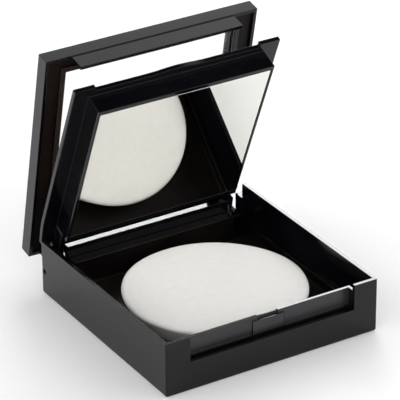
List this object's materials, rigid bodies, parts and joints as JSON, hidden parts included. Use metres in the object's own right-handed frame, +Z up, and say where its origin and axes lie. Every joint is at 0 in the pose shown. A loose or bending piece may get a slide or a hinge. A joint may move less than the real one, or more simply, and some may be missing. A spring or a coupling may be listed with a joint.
{
  "type": "powder compact",
  "caption": "Square black powder compact with a puff well, a hinged powder tray that carries a mirror underneath, and a hinged lid with a clear window.",
  "frame": {"origin": "centre of the base's underside, on the surface it rests on", "axes": "+Z up, +X to the user's right along the hinge line, +Y back towards the hinge; the front with the catch is at -Y"},
  "size_m": [0.065, 0.0765, 0.072],
  "materials": {
    "gloss_case": "polished black plastic",
    "gloss_insert": "satin black plastic",
    "puff_velour": "white velour",
    "pin_steel": "drawn steel wire",
    "tape": "white foam tape",
    "mirror": "silvered glass",
    "pan_metal": "pressed sheet",
    "powder": "pressed powder",
    "clear": "clear plastic"
  },
  "bodies": {
    "base": {"base_shell": "gloss_case", "well_liner": "gloss_insert", "puff": "puff_velour", "hinge_pins": "pin_steel"},
    "tray": {"tray_frame": "gloss_case", "mirror_tape": "tape", "mirror_glass": "mirror", "pan_tape": "tape", "powder_pan": "pan_metal", "powder_cake": "powder"},
    "lid": {"lid_frame": "gloss_case", "window_pane": "clear", "window_ring": "gloss_insert"}
  },
  "joints": [
    {"name": "tray_hinge", "type": "hinge", "parent": "base", "child": "tray", "pos_m": [0, 0.0311, 0.0071], "axis": [-1, 0, 0], "range_deg": [-67.25, 10]},
    {"name": "lid_hinge", "type": "hinge", "parent": "base", "child": "lid", "pos_m": [0, 0.0311, 0.0071], "axis": [-1, 0, 0], "range_deg": [-78.01, 11.6]}
  ],
  "couplings": [
    {"joint": "lid_hinge", "follows": "tray_hinge", "ratio": 1.16}
  ]
}
